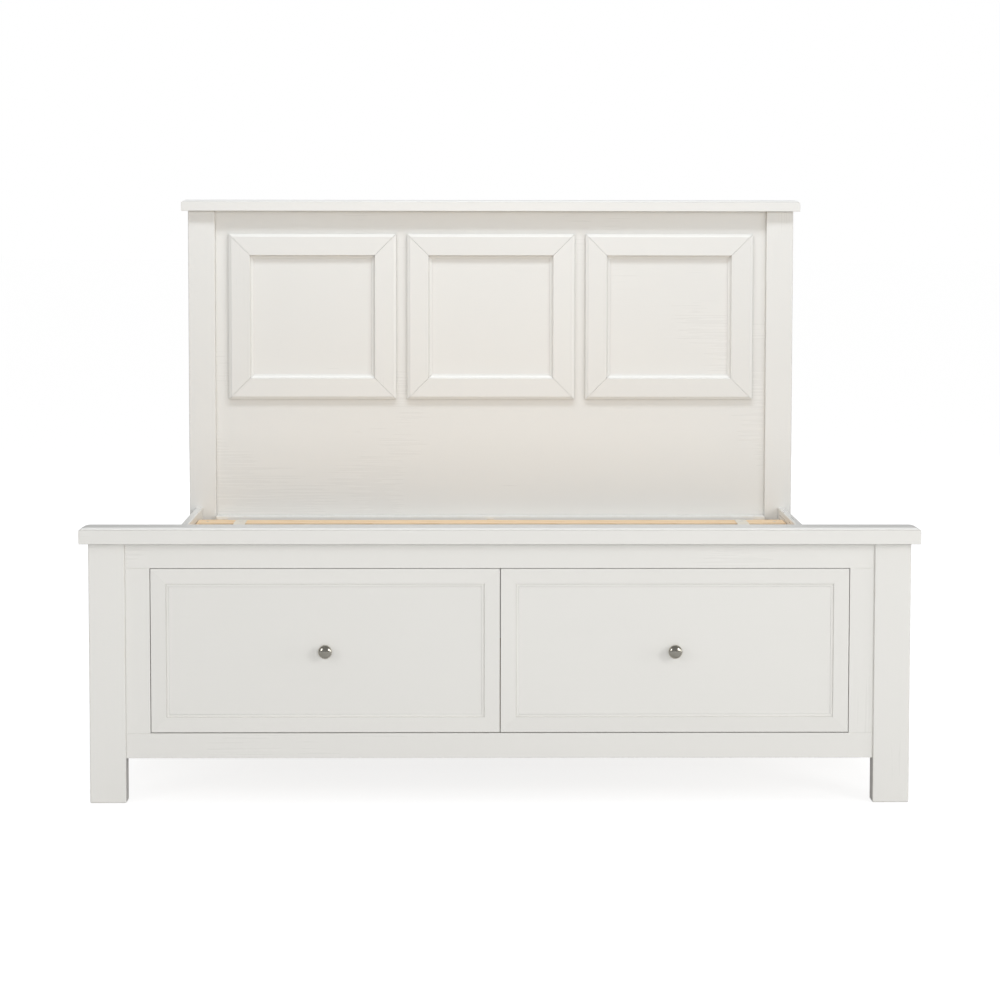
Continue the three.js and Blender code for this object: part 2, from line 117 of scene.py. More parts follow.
# the drawer fronts, from the outer edge inwards: a border, a groove with its width and depth, a bead
# that rises over a width and a height and falls over a width, and a sunk field
BORDER_MITRE_GAP = 0.01 * MM
BORDER_END_EASE = 0.06 * MM
BORDER_OUTER_ROUND = 0.9 * MM
BORDER_WIDTH = 29.5 * MM
BORDER_ARRIS = 0.2 * MM
FIELD_GROOVE = (0.7 * MM, 3.2 * MM)
BEAD_RISE = (1.9 * MM, 0.9 * MM)
BEAD_FALL = 3.4 * MM
FIELD_DEPTH = 2.5 * MM
FIELD_EASE = 0.05 * MM

# the runners' grooves in the drawer sides
GROOVE_DEPTH = 7 * MM
GROOVE_Z = (215 * MM, 231.6 * MM)

# the knobs
KNOB_FOOT_RADIUS = 8.3 * MM
KNOB_FOOT_HEIGHT = 1.2 * MM
KNOB_FOOT_ROUND = 0.8 * MM
KNOB_FOOT_FLARE = 2.0 * MM
KNOB_NECK_RADIUS = 5.0 * MM
KNOB_NECK_INSET = 2.2 * MM        # of the neck's top from the rim
KNOB_NECK_DROP = 1.4 * MM         # of the neck's top below the rim's rounding
KNOB_RIM_HEIGHT = 19 * MM
KNOB_RIM_ROUND = 1.1 * MM

# steel fixings, with each kind of screw's head radius and how far it stands proud
POST_SCREW = (4.6 * MM, 2.2 * MM)
ANGLE_SCREW = (3.8 * MM, 1.6 * MM)
PANEL_SCREW = (4.0 * MM, 0.6 * MM)
SLAT_SCREW = (3.6 * MM, 0.3 * MM)
KNOB_SCREW = (3.8 * MM, 1.0 * MM)
BOX_SCREW = (3.6 * MM, 0.2 * MM)
SCREW_SUNK = 0.4 * MM
SCREW_BEVEL = 0.5 * MM
SOCKET_SHARE = 0.42               # of a screw head's radius
SOCKET_BEVEL = 0.25 * MM
WASHER_RADIUS = 8.5 * MM
WASHER_THICKNESS = 1.6 * MM
BOLT_HEAD_RADIUS = 5.2 * MM
BOLT_HEAD_TOP = 6 * MM
BRACKET_THICKNESS = 3 * MM
BRACKET_ROUND = 0.5 * MM
BRACKET_Z = (215 * MM, 295 * MM)
BRACKET_RAIL_LEG = 60 * MM
BRACKET_POST_LEG = 31 * MM
BRACKET_GAP = 0.05 * MM
BRACKET_HOLE_SHARES = (0.25, 0.75)
BRACKET_BOLT_SHARE = 0.62
BRACKET_SCREW_INSET = 11 * MM
ANGLE_LEG = 28 * MM
ANGLE_WIDTH = 22 * MM
ANGLE_THICKNESS = 2.2 * MM
ANGLE_ROUND = 0.4 * MM
ANGLE_SCREW_INSET = 10 * MM
ANGLE_Y = (-0.8, -0.4, 0.0, 0.4, 0.8)
BOARD_SCREW_X = (-0.65, -0.39, -0.13, 0.13, 0.39, 0.65)
STOP_SCREW_SPREAD = 0.92          # of the panel screws' places
STOP_SCREW_DROP = 24 * MM
SLAT_SCREW_INSET = 26 * MM
SLAT_SCREW_SCATTER = 6 * MM
KNOB_WASHER_RADIUS = 6.8 * MM
KNOB_WASHER_THICKNESS = 0.9 * MM
BOX_SCREW_Z = (178 * MM, 284 * MM)

# the studio: the floor and the surround are brighter to the camera than to the object
FLOOR_COLOUR = (0.42, 0.42, 0.42)
FLOOR_GLOW = 0.81
FLOOR_REFLECTED_GLOW = 0.14
FLOOR_REACH = 60
FLOOR_DROP = 0.5 * MM
SURROUND_SEEN = 1.0
SURROUND_LIGHT = 0.44
SURROUND_REFLECTED = 0.25

# the camera, with its turns in degrees: to the right, downward and about its own axis
CAMERA_PLACE = (-0.0693, -6.5595, 1.1459)
CAMERA_YAW = 0.708
CAMERA_PITCH = 4.162
CAMERA_ROLL = 0.074
CAMERA_LENS = 103.84
CAMERA_SHIFT = -0.08


# ---------------------------------------------------------------- node materials


class Finish:
    """A material with a Principled shader, and short ways to add nodes to it."""

    def __init__(self, name, **sockets):
        self.material = bpy.data.materials.new(name)
        self.material.use_nodes = True
        self.tree = self.material.node_tree
        self.shader = self.tree.nodes["Principled BSDF"]
        for socket, value in sockets.items():
            self.shader.inputs[socket.replace("_", " ")].default_value = value

    def add(self, kind, inputs=(), **settings):
        node = self.tree.nodes.new("ShaderNode" + kind)
        for key, value in settings.items():
            setattr(node, key, value)
        for socket, value in dict(inputs).items():
            if isinstance(value, bpy.types.NodeSocket):
                self.tree.links.new(value, node.inputs[socket])
            else:
                node.inputs[socket].default_value = value
        return node

    def link(self, socket, value):
        self.tree.links.new(value, self.shader.inputs[socket])

    def attribute(self, name):
        return self.add("Attribute", attribute_name=name)

    def stretched(self, vector, scale):
        """The coordinates scaled along each of a board's own axes."""
        return self.add("VectorMath", {0: vector, 1: scale}, operation="MULTIPLY").outputs[0]

    def noise(self, vector, scale, detail, roughness=0.5):
        inputs = {"Vector": vector, "Scale": scale, "Detail": detail, "Roughness": roughness}
        return self.add("TexNoise", inputs).outputs["Fac"]

    def math(self, operation, a, b=0.0):
        return self.add("Math", {0: a, 1: b}, operation=operation).outputs[0]

    def spread(self, value, low, high, from_low=0.25, from_high=0.75):
        """The value moved from one range to another, and held at its ends."""
        inputs = {"Value": value, "From Min": from_low, "From Max": from_high}
        inputs.update({"To Min": low, "To Max": high})
        return self.add("MapRange", inputs).outputs["Result"]

    def mix(self, factor, a, b, blend="MIX"):
        node = self.add("Mix", data_type="RGBA", blend_type=blend)
        for socket, value in ((node.inputs[0], factor), (node.inputs[6], a), (node.inputs[7], b)):
            if isinstance(value, bpy.types.NodeSocket):
                self.tree.links.new(value, socket)
            else:
                socket.default_value = value
        return node.outputs[2]

    def shaded(self, colour, shade):
        """A colour times a grey."""
        grey = self.add("CombineColor", {0: shade, 1: shade, 2: shade}).outputs[0]
        return self.mix(1.0, colour, grey, "MULTIPLY")

    def ramp(self, value, stops):
        node = self.add("ValToRGB", {"Fac": value})
        elements = node.color_ramp.elements
        while len(elements) < len(stops):
            elements.new(0.5)
        for element, (place, colour) in zip(elements, stops):
            element.position = place
            element.color = (*colour, 1)
        return node.outputs["Color"]

    def bump(self, height, distance, normal=None):
        inputs = {"Height": height, "Distance": distance, "Strength": 1.0}
        if normal is not None:
            inputs["Normal"] = normal
        return self.add("Bump", inputs).outputs["Normal"]


def painted_wood(name, colour, roughness):
    """Satin paint over wood: soft mottling, brush drag along the board, a trace of grain, worn edges."""
    f = Finish(name, IOR=1.5)
    place = f.attribute("board_co").outputs["Vector"]
    edge = f.attribute("edge").outputs["Fac"]
    tone = f.attribute("tone").outputs["Fac"]
    broad = f.noise(place, 2.4, 3)
    drag = f.noise(f.stretched(place, (5, 260, 260)), 1, 3)
    grain = f.noise(f.stretched(place, (2.5, 70, 70)), 1, 4, 0.6)
    peel = f.noise(place, 620, 1.5)
    shade = f.math("MULTIPLY", f.spread(broad, 0.99, 1.006), f.spread(drag, 0.997, 1.002))
    shade = f.math("MULTIPLY", shade, tone)
    base = f.shaded((*colour, 1), shade)
    rubbed = f.math("MULTIPLY", edge, f.spread(f.noise(place, 38, 4), 0.0, 0.5, 0.45, 0.7))
    base = f.mix(rubbed, base, (*(c * s for c, s in zip(colour, (0.93, 0.9, 0.84))), 1))
    f.link("Base Color", base)
    gloss = f.spread(broad, roughness - 0.03, roughness + 0.04)
    gloss = f.math("ADD", gloss, f.spread(drag, -0.012, 0.012))
    f.link("Roughness", f.math("ADD", gloss, f.math("MULTIPLY", rubbed, 0.12)))
    normal = f.bump(grain, PAINT_GRAIN_RELIEF)
    normal = f.bump(drag, PAINT_DRAG_RELIEF, normal)
    f.link("Normal", f.bump(peel, PAINT_PEEL_RELIEF, normal))
    return f.material


def bare_wood(name, light, dark, ring_scale, roughness):
    """Planed wood: rings stretched along the board, fibres, short flecks, and a tone of each board's own."""
    f = Finish(name, IOR=1.5)
    place = f.attribute("board_co").outputs["Vector"]
    tone = f.attribute("tone").outputs["Fac"]
    edge = f.attribute("edge").outputs["Fac"]
    wander = f.noise(f.stretched(place, (1.1, 9, 9)), 1, 3, 0.55)
    sway = f.add("CombineXYZ", {0: wander, 1: wander, 2: wander}).outputs[0]
    sway = f.stretched(sway, (0.0, 0.055, 0.055))
    flow = f.stretched(place, (0.35, 1, 1))
    flow = f.add("VectorMath", {0: flow, 1: sway}, operation="ADD").outputs[0]
    wave = {"Vector": flow, "Scale": ring_scale, "Distortion": 1.6, "Detail": 2.5, "Detail Scale": 1.4}
    rings = f.add("TexWave", wave, wave_type="BANDS", bands_direction="DIAGONAL", wave_profile="SAW")
    rings = rings.outputs["Fac"]
    fibres = f.noise(f.stretched(place, (9, 620, 620)), 1, 4, 0.6)
    flecks = f.noise(f.stretched(place, (75, 900, 900)), 1, 1)
    middle = tuple((a + b) / 2 for a, b in zip(light, dark))
    early = tuple(a * 0.97 for a in light)
    base = f.ramp(rings, [(0.0, light), (0.55, early), (0.86, middle), (1.0, dark)])
    base = f.mix(f.spread(fibres, 0.0, 0.35), base, (*middle, 1))
    base = f.mix(f.spread(flecks, 0.0, 0.35, 0.64, 0.74), base, (*(a * 0.8 for a in dark), 1))
    # on the slats the tone also carries painted shade on their upright sides
    shade = f.math("MULTIPLY", tone, f.spread(f.noise(place, 3.1, 2), 0.96, 1.03))
    f.link("Base Color", f.shaded(base, shade))
    gloss = f.spread(fibres, roughness - 0.05, roughness + 0.07)
    f.link("Roughness", f.math("ADD", gloss, f.math("MULTIPLY", edge, 0.04)))
    normal = f.bump(rings, WOOD_RING_RELIEF)
    normal = f.bump(fibres, WOOD_FIBRE_RELIEF, normal)
    f.link("Normal", f.bump(flecks, WOOD_FLECK_RELIEF, normal))
    return f.material


def woven_webbing(name, light, dark, pitch_along, pitch_across):
    """Cotton webbing: warp and weft crossing at a thread's pitch, with slubs and a little soiling."""
    f = Finish(name, Roughness=0.88, Sheen_Weight=0.25, Sheen_Roughness=0.5)
    place = f.attribute("board_co").outputs["Vector"]
    parts = f.add("SeparateXYZ", {0: place})
    along = f.math("SINE", f.math("MULTIPLY", parts.outputs[0], math.tau / pitch_along))
    across = f.math("SINE", f.math("MULTIPLY", parts.outputs[1], math.tau / pitch_across))
    weave = f.math("MULTIPLY", along, across)
    slubs = f.noise(f.stretched(place, (60, 700, 300)), 1, 2)
    height = f.math("ADD", f.math("MULTIPLY", weave, 0.5), slubs)
    base = f.mix(f.spread(weave, 1.0, 0.0, -1.0, 0.6), (*light, 1), (*dark, 1))
    base = f.mix(f.spread(f.noise(place, 14, 3), 0.0, 0.22), base, (*(a * 0.86 for a in light), 1))
    f.link("Base Color", base)
    f.link("Normal", f.bump(height, WEAVE_RELIEF))
    return f.material


def bare_metal(name, colour, roughness, scratch, tarnish):
    """Plated metal with fine polishing marks and slight tarnish."""
    f = Finish(name, Metallic=1.0)
    place = f.attribute("board_co").outputs["Vector"]
    marks = f.noise(f.stretched(place, (300, 2600, 2600)), 1, 2)
    cloud = f.noise(place, 90, 4)
    dull = tuple(c * s for c, s in zip(colour, (0.78, 0.74, 0.66)))
    f.link("Base Color", f.mix(f.spread(cloud, 0.0, tarnish), (*colour, 1), (*dull, 1)))
    gloss = f.spread(cloud, roughness * 0.8, roughness * 1.25)
    f.link("Roughness", f.math("ADD", gloss, f.spread(marks, 0, scratch)))
    f.link("Normal", f.bump(marks, POLISH_RELIEF))
    return f.material


WHITE = painted_wood("white_paint", (0.80, 0.788, 0.752), 0.29)
DRAWER_WHITE = painted_wood("drawer_white_paint", (0.79, 0.778, 0.742), 0.31)
SLAT_WOOD = bare_wood("slat_beech", (0.95, 0.71, 0.45), (0.80, 0.54, 0.29), 11, 0.5)
BEAM_WOOD = bare_wood("beam_pine", (0.79, 0.60, 0.37), (0.57, 0.36, 0.17), 7, 0.58)
DRAWER_WOOD = bare_wood("drawer_poplar", (0.76, 0.64, 0.455), (0.60, 0.46, 0.29), 9, 0.55)
WEBBING = woven_webbing("cotton_webbing", (0.90, 0.84, 0.72), (0.56, 0.50, 0.39), 2.6 * MM, 1.7 * MM)
NICKEL = bare_metal("polished_nickel", (0.56, 0.54, 0.485), 0.15, 0.05, 0.5)
ZINC = bare_metal("zinc_plated_steel", (0.62, 0.63, 0.64), 0.32, 0.1, 0.4)


# ---------------------------------------------------------------- meshes


class Piece:
    """One visible piece: the islands that make it up, each with a board's own coordinates for its grain."""

    def __init__(self):
        self.bm = bmesh.new()

    def absorb(self, island, along="x"):
        """Adds an island. Its grain runs along the given axis, from a place in the tree of its own."""
        bmesh.ops.recalc_face_normals(island, faces=island.faces)
        layer = island.verts.layers.float_vector.new("board_co")
        tone_layer = island.faces.layers.float.new("tone")
        first = AXES[along]
        offset = Vector(draw.uniform(-9, 9) for _ in range(3))
        tone = draw.uniform(0.985, 1.01)
        for vert in island.verts:
            vert[layer] = offset + Vector(vert.co[(first + k) % 3] for k in range(3))
        for face in island.faces:
            face[tone_layer] = tone
        mesh = bpy.data.meshes.new("island")
        island.to_mesh(mesh)
        island.free()
        self.bm.from_mesh(mesh)
        bpy.data.meshes.remove(mesh)

    def board(self, low, high, radius, along="x", segments=3):
        island = bmesh.new()
        bmesh.ops.create_cube(island, size=1)
        low, high = Vector(low), Vector(high)
        for vert in island.verts:
            vert.co = Vector(a + (c + 0.5) * (b - a) for a, b, c in zip(low, high, vert.co))
        soften(island, radius, segments)
        self.absorb(island, along)
        return self

    def prism(self, outline, axis, start, end, radius):
        """An outline extruded along an axis. Its coordinates are the other two axes, in X, Y, Z order."""
        island = bmesh.new()
        index = AXES[axis]

        def corner(u, v, w):
            point = [u, v]
            point.insert(index, w)
            return island.verts.new(point)

        bottom = [corner(u, v, start) for u, v in outline]
        top = [corner(u, v, end) for u, v in outline]
        skin(island, [bottom, top])
        soften(island, radius, 2)
        self.absorb(island, axis)
        return self

    def rings(self, rings, along="x"):
        """A closed solid through rings of points, with its first and last ring filled."""
        island = bmesh.new()
        skin(island, [[island.verts.new(p) for p in ring] for ring in rings])
        self.absorb(island, along)
        return self

    def build(self, name, material, node=None, body=None, slot=None):
        """Makes the object. With a node it takes that CAD node's place, on its body. The slot argument is
        not used.
        """
        edge = self.bm.faces.layers.float.get("edge") or self.bm.faces.layers.float.new("edge")
        mesh = bpy.data.meshes.new(name)
        for face in self.bm.faces:
            face.smooth = True
            face[edge] = min(face[edge], 1.0)
        self.bm.to_mesh(mesh)
        self.bm.free()
        mesh.materials.append(material)
        obj = bpy.data.objects.new(name, mesh)
        bpy.context.scene.collection.objects.link(obj)
        weighted = obj.modifiers.new("crisp_faces", "WEIGHTED_NORMAL")
        weighted.weight = 100
        weighted.keep_sharp = True
        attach(obj, body or NODE_BODY[node])
        if node:
            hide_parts(node)


def skin(island, rings):
    """Faces between rings of the same number of points, and over the two ends."""
    for near, far in zip(rings, rings[1:]):
        for k in range(len(near)):
            nxt = (k + 1) % len(near)
            island.faces.new((near[k], near[nxt], far[nxt], far[k]))
    island.faces.new(rings[0][::-1])
    island.faces.new(rings[-1])


def soften(island, radius, segments):
    """Rounds the island's sharp edges, and marks the rounding as edge."""
    edge = island.faces.layers.float.get("edge") or island.faces.layers.float.new("edge")
    island.normal_update()
    least = math.radians(SHARP_ANGLE)
    sharp = [e for e in island.edges if e.is_manifold and e.calc_face_angle() > least]
    made = bmesh.ops.bevel(island, geom=sharp, offset=radius, segments=segments, profile=0.5,
                           affect="EDGES", clamp_overlap=True)
    for face in made["faces"]:
        face[edge] = 1.0


def turned(piece, profile, centre, direction, steps, flats=()):
    """A solid of revolution about a line through centre. Its profile runs from axis to axis as
    (radius, height). flats lists the profile's points that lie on a hexagon instead of a circle."""
    turn = Vector(direction).to_track_quat("Z", "Y").to_matrix()
    rings = []
    for index, (radius, height) in enumerate(profile):
        ring = []
        for k in range(steps):
            angle = math.tau * k / steps
            reach = radius
            if index in flats:
                reach = radius / math.cos((angle + math.pi / 6) % (math.pi / 3) - math.pi / 6)
            point = Vector((reach * math.cos(angle), reach * math.sin(angle), height))
            ring.append(Vector(centre) + turn @ point)
        rings.append(ring)
    piece.rings(rings)


def arc(centre, radii, start, end, steps):
    """Points along a part of an ellipse, with angles in degrees."""
    points = []
    for k in range(steps + 1):
        angle = math.radians(start + (end - start) * k / steps)
        points.append((centre[0] + radii[0] * math.cos(angle), centre[1] + radii[1] * math.sin(angle)))
    return points


def plain_board(node, material, along, radius, segments=3, meets=""):
    """A CAD board redrawn with rounded edges. meets lists the sides that close up to a neighbour."""
    low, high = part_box(node)
    for side in meets.split():
        corner, sign = (high, 1) if side[0] == "+" else (low, -1)
        corner[AXES[side[1]]] += sign * (CAD_GAP - JOINT_GAP)
    Piece().board(low, high, radius, along, segments).build(f"{node}_fine", material, node)


# ---------------------------------------------------------------- caps


def cap(node):
    """A cap with an ovolo on its front and ends, over a narrow ledge and quirk, and a plain rounded back."""
    low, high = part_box(node)
    thickness = high.z - low.z
    face_top = thickness - OVOLO_HEIGHT
    r = CAP_EDGE_ROUND
    # the section's (inset, height), from the underside up to the top face
    lip = CAP_LIP_ROUND
    ovolo_base = face_top + QUIRK_HEIGHT
    section = arc((r, r), (r, r), 270, 180, 4)
    section += arc((lip, face_top - lip), (lip, lip), 180, 90, 3)
    section.append((OVOLO_LEDGE + QUIRK_DEPTH, face_top))
    section.append((OVOLO_LEDGE + QUIRK_DEPTH, ovolo_base))
    across = OVOLO_WIDTH / math.cos(math.radians(OVOLO_START))
    upright = (thickness - ovolo_base) / (1 - math.sin(math.radians(OVOLO_START)))
    middle = (OVOLO_LEDGE + OVOLO_WIDTH, thickness - upright)
    section += arc(middle, (across, upright), 180 - OVOLO_START, 90, 14)
    rings = []
    for inset, height in section:
        into = height - (thickness - r)
        if into > 0:
            back = r - math.sqrt(max(0.0, r * r - into * into))
        else:
            back = inset if height < r else 0.0
        x0, x1 = low.x + inset, high.x - inset
        y0, y1 = low.y + inset, high.y - back
        z = low.z + height
        ring = []
        for (cx, cy), start in (((x0, y0), 180), ((x1, y0), 270), ((x1, y1), 0), ((x0, y1), 90)):
            sx, sy = (1 if cx == x0 else -1), (1 if cy == y0 else -1)
            corner = arc((cx + sx * r, cy + sy * r), (r, r), start, start + 90, 3)
            ring += [(x, y, z) for x, y in corner]
        rings.append(ring)
    Piece().rings(rings, "x").build(f"{node}_fine", WHITE, node)


# ---------------------------------------------------------------- mitred strips


def edge_middle(low, high, side):
    """The middle of one side of a box that is seen from the front, as (x, z)."""
    middle = (low + high) / 2
    return {"top": (middle.x, high.z), "bottom": (middle.x, low.z), "left": (low.x, middle.z),
            "right": (high.x, middle.z)}[side]


def mitred_strip(piece, section, span, centre, side, front, gap, ease):
    """One strip of a rectangular border in the plane that faces -Y.

    span is its outer length, centre its outer edge's middle as (x, z), and side where it is in the border.
    gap is the clearance at each mitre and ease the rounding of the strip's cut ends."""
    outward = {"top": (0, 1), "bottom": (0, -1), "left": (-1, 0), "right": (1, 0)}[side]
    run = (abs(outward[1]), abs(outward[0]))
    rings = []
    for end in (-1, 1):
        ring = []
        for across, depth in section:
            reach = end * (span / 2 - gap - across)
            x = centre[0] - outward[0] * across + run[0] * reach
            z = centre[1] - outward[1] * across + run[1] * reach
            ring.append((x, front + depth, z))
        rings.append(ring)
    island = bmesh.new()
    skin(island, [[island.verts.new(p) for p in ring] for ring in rings])
    ends = [f for f in island.faces if len(f.verts) == len(section)]
    rims = [e for f in ends for e in f.edges]
    edge = island.faces.layers.float.new("edge")
    made = bmesh.ops.bevel(island, geom=rims, offset=ease, segments=1, profile=0.5, affect="EDGES")
    for face in made["faces"]:
        face[edge] = CUT_END_WEAR
    piece.absorb(island, "x" if run[0] else "z")


def moulding(node):
    """One of the headboard's applied mouldings, mitred at both ends."""
    low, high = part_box(node)
    side = node.rsplit("_", 1)[1]
    lying = side in ("top", "bottom")
    size = high - low
    width, span = (size.z, size.x) if lying else (size.x, size.z)
    back = size.y + CAD_GAP - JOINT_GAP
    arris = MOULDING_ARRIS
    step_top, slope_foot = MOULDING_SLOPE_DEPTHS
    cove_width, cove_depth = MOULDING_COVE
    # the section as (across, depth): across from its outer edge, depth back from its flat face
    section = [(0.0, back), (0.0, slope_foot + arris), (arris, slope_foot - arris * 0.4)]
    section += [(MOULDING_SLOPE_WIDTH - MOULDING_STEP_LEAN, step_top), (MOULDING_SLOPE_WIDTH, arris)]
    section += [(MOULDING_SLOPE_WIDTH + arris, 0.0), (width - cove_width - arris, 0.0)]
    section += [(width - x, z) for x, z in arc((0.0, 0.0), (cove_width, cove_depth), 4, 90, 9)]
    section.append((width, back))
    piece = Piece()
    middle = edge_middle(low, high, side)
    mitred_strip(piece, section, span, middle, side, low.y, MOULDING_MITRE_GAP, MOULDING_END_EASE)
    piece.build(f"{node}_fine", WHITE, node)


# ---------------------------------------------------------------- headboard and foot end


def headboard():
    for side in ("left", "right"):
        plain_board(f"head_post_{side}", WHITE, "z", POST_ROUND, meets="+z")
    cap("head_cap")
    plain_board("head_panel", WHITE, "x", PANEL_ROUND, meets="-x +x +z")
    plain_board("head_cross_rail", WHITE, "x", CROSS_RAIL_ROUND, 4, meets="-x +x +y")
    for place in ("left", "centre", "right"):
        for side in ("top", "left", "bottom", "right"):
            moulding(f"moulding_{place}_{side}")


def foot_end():
    for side in ("left", "right"):
        plain_board(f"foot_post_{side}", WHITE, "z", POST_ROUND, meets="+z")
        outward = "-x" if side == "left" else "+x"
        plain_board(f"foot_stile_{side}", WHITE, "z", FACE_FRAME_ROUND, meets=f"{outward} -z +z")
    cap("foot_cap")
    plain_board("foot_top_rail", WHITE, "x", FACE_FRAME_ROUND, meets="-x +x +z")
    plain_board("foot_bottom_rail", WHITE, "x", FACE_FRAME_ROUND, meets="-x +x")
    plain_board("mattress_stop_board", WHITE, "x", PANEL_ROUND, meets="-x +x -y +z")


# ---------------------------------------------------------------- mattress base


def slats():
    for node in SLAT_NODES:
        piece = Piece().board(*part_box(node), SLAT_ROUND, "x")
        tone = piece.bm.faces.layers.float["tone"]
        # painted shade: the upright sides get a darker tone in place of the shade that falls on them
        for face in piece.bm.faces:
            upright = abs(face.normal.y) > 0.7
            if upright:
                face[tone] *= SLAT_SIDE_PAINTED_SHADE
        piece.build(f"{node}_fine", SLAT_WOOD, node)


def webbing(node):
    """A tape over the slats, dipping a little between them, with rounded selvedges."""
    low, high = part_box(node)
    boxes = [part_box(slat) for slat in SLAT_NODES]
    middles = sorted((slat_low.y + slat_high.y) / 2 for slat_low, slat_high in boxes)
    half = (boxes[0][1].y - boxes[0][0].y) / 2
    pitch = middles[1] - middles[0]
    r = (high.z - low.z) / 2
    across = arc((low.x + r, r), (r, r), 270, 90, 4) + arc((high.x - r, r), (r, r), 90, -90, 4)
    rings = []
    for k in range(TAPE_STEPS + 1):
        y = low.y + (high.y - low.y) * k / TAPE_STEPS
        nearest = min(abs(y - m) for m in middles)
        gap = max(0.0, nearest - half) / (pitch / 2 - half)
        sag = TAPE_DIP * math.sin(min(1.0, gap) * math.pi / 2) ** 2
        rings.append([(x, y, low.z + z - sag) for x, z in across])
    Piece().rings(rings, "y").build(f"{node}_fine", WEBBING, node)


def staples(side):
    """Two staple crowns where the tape crosses each slat."""
    low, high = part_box(f"slat_tape_{side}")
    middle = (low.x + high.x) / 2
    piece = Piece()
    scatter_x, scatter_y = STAPLE_SCATTER
    for node in SLAT_NODES:
        slat_low, slat_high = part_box(node)
        for share in STAPLE_SHARES:
            y = slat_low.y + (slat_high.y - slat_low.y) * share + draw.uniform(-scatter_y, scatter_y)
            x = middle + draw.uniform(-scatter_x, scatter_x)
            base = Vector((x - STAPLE.x / 2, y - STAPLE.y / 2, high.z - STAPLE_SUNK))
            piece.board(base, base + STAPLE, STAPLE_ROUND, "x", 2)
    piece.build(f"tape_staples_{side}", ZINC, body="frame", slot="knob_metal")


def mattress_base():
    for side in ("left", "right"):
        plain_board(f"side_rail_{side}", WHITE, "y", RAIL_ROUND, meets="-y +y")
        plain_board(f"slat_ledge_{side}", BEAM_WOOD, "y", BOX_ROUND)
    plain_board("centre_beam", BEAM_WOOD, "y", BOX_ROUND)
    plain_board("centre_support_leg", BEAM_WOOD, "z", POST_ROUND)
    slats()
    for side in ("left", "right"):
        webbing(f"slat_tape_{side}")
        staples(side)


# ---------------------------------------------------------------- drawers


def drawer_front(side):
    """A drawer front: four mitred border strips round a sunk field, with a fine groove and bead between."""
    node = f"drawer_{side}_front"
    low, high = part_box(node)
    width, thickness, height = high - low
    r = BORDER_OUTER_ROUND
    groove_width, groove_depth = FIELD_GROOVE
    crest = BORDER_WIDTH + groove_width + BEAD_RISE[0]
    crest_depth = groove_depth - BEAD_RISE[1]
    field_edge = crest + BEAD_FALL
    # the section as (across, depth): the bead rises out of the groove and dies away into the field
    section = [(0.0, thickness)] + arc((r, r), (r, r), 180, 270, 4)
    section += [(BORDER_WIDTH - BORDER_ARRIS, 0.0), (BORDER_WIDTH, BORDER_ARRIS)]
    section.append((BORDER_WIDTH, groove_depth))
    section += arc((crest, groove_depth), BEAD_RISE, 185, 270, 6)
    for k in range(1, 7):
        share = (1 - math.cos(math.pi * k / 6)) / 2
        section.append((crest + BEAD_FALL * k / 6, crest_depth + (FIELD_DEPTH - crest_depth) * share))
    section.append((field_edge, thickness))
    piece = Piece()
    for place in ("top", "bottom", "left", "right"):
        span = width if place in ("top", "bottom") else height
        middle = edge_middle(low, high, place)
        mitred_strip(piece, section, span, middle, place, low.y, BORDER_MITRE_GAP, BORDER_END_EASE)
    field_low = (low.x + field_edge, low.y + FIELD_DEPTH, low.z + field_edge)
    field_high = (high.x - field_edge, high.y, high.z - field_edge)
    piece.board(field_low, field_high, FIELD_EASE, "x", 1)
    piece.build(f"{node}_fine", DRAWER_WHITE, node)


def drawer_side(side, which):
    """A box side with the groove that its runner slides in."""
    node = f"drawer_{side}_{which}_side"
    low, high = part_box(node)
    outward_right = (side == "right") == (which == "outer")
    face, inner = (high.x, low.x) if outward_right else (low.x, high.x)
    floor = face + (-1 if outward_right else 1) * GROOVE_DEPTH
    z0, z1 = GROOVE_Z
    outline = [(inner, low.z), (face, low.z), (face, z0), (floor, z0)]
    outline += [(floor, z1), (face, z1), (face, high.z), (inner, high.z)]
    Piece().prism(outline, "y", low.y, high.y, BOX_ROUND).build(f"{node}_fine", DRAWER_WOOD, node)


def knob(side):
    """A turned knob: a foot, a waisted neck and a domed head with a fine rim."""
    node = f"drawer_{side}_knob"
    low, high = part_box(node)
    centre = ((low.x + high.x) / 2, high.y, (low.z + high.z) / 2)
    radius = (high.x - low.x) / 2
    height = high.y - low.y
    rim, r = KNOB_RIM_HEIGHT, KNOB_FOOT_ROUND
    profile = [(AXIS, 0.0), (KNOB_FOOT_RADIUS, 0.0)]
    profile += arc((KNOB_FOOT_RADIUS - r, KNOB_FOOT_HEIGHT), (r, r), 0, 85, 4)
    neck_start = KNOB_FOOT_HEIGHT + r
    neck_end = rim - KNOB_RIM_ROUND - KNOB_NECK_DROP
    rim_flare = radius - KNOB_NECK_INSET - KNOB_NECK_RADIUS
    for k in range(1, 10):
        t = k / 9
        waist = KNOB_NECK_RADIUS + KNOB_FOOT_FLARE * (1 - t) ** 3 + rim_flare * t ** 4
        profile.append((waist, neck_start + (neck_end - neck_start) * t))
    profile += arc((radius - KNOB_RIM_ROUND, rim), (KNOB_RIM_ROUND, KNOB_RIM_ROUND), 290, 360, 5)
    dome = arc((0.0, rim), (radius, height - rim), 0, 90, 14)
    profile += [(max(AXIS, x), z) for x, z in dome[1:]]
    piece = Piece()
    turned(piece, profile, centre, (0, -1, 0), 64)
    piece.build(f"{node}_fine", NICKEL, node)


# ---------------------------------------------------------------- steel fixings


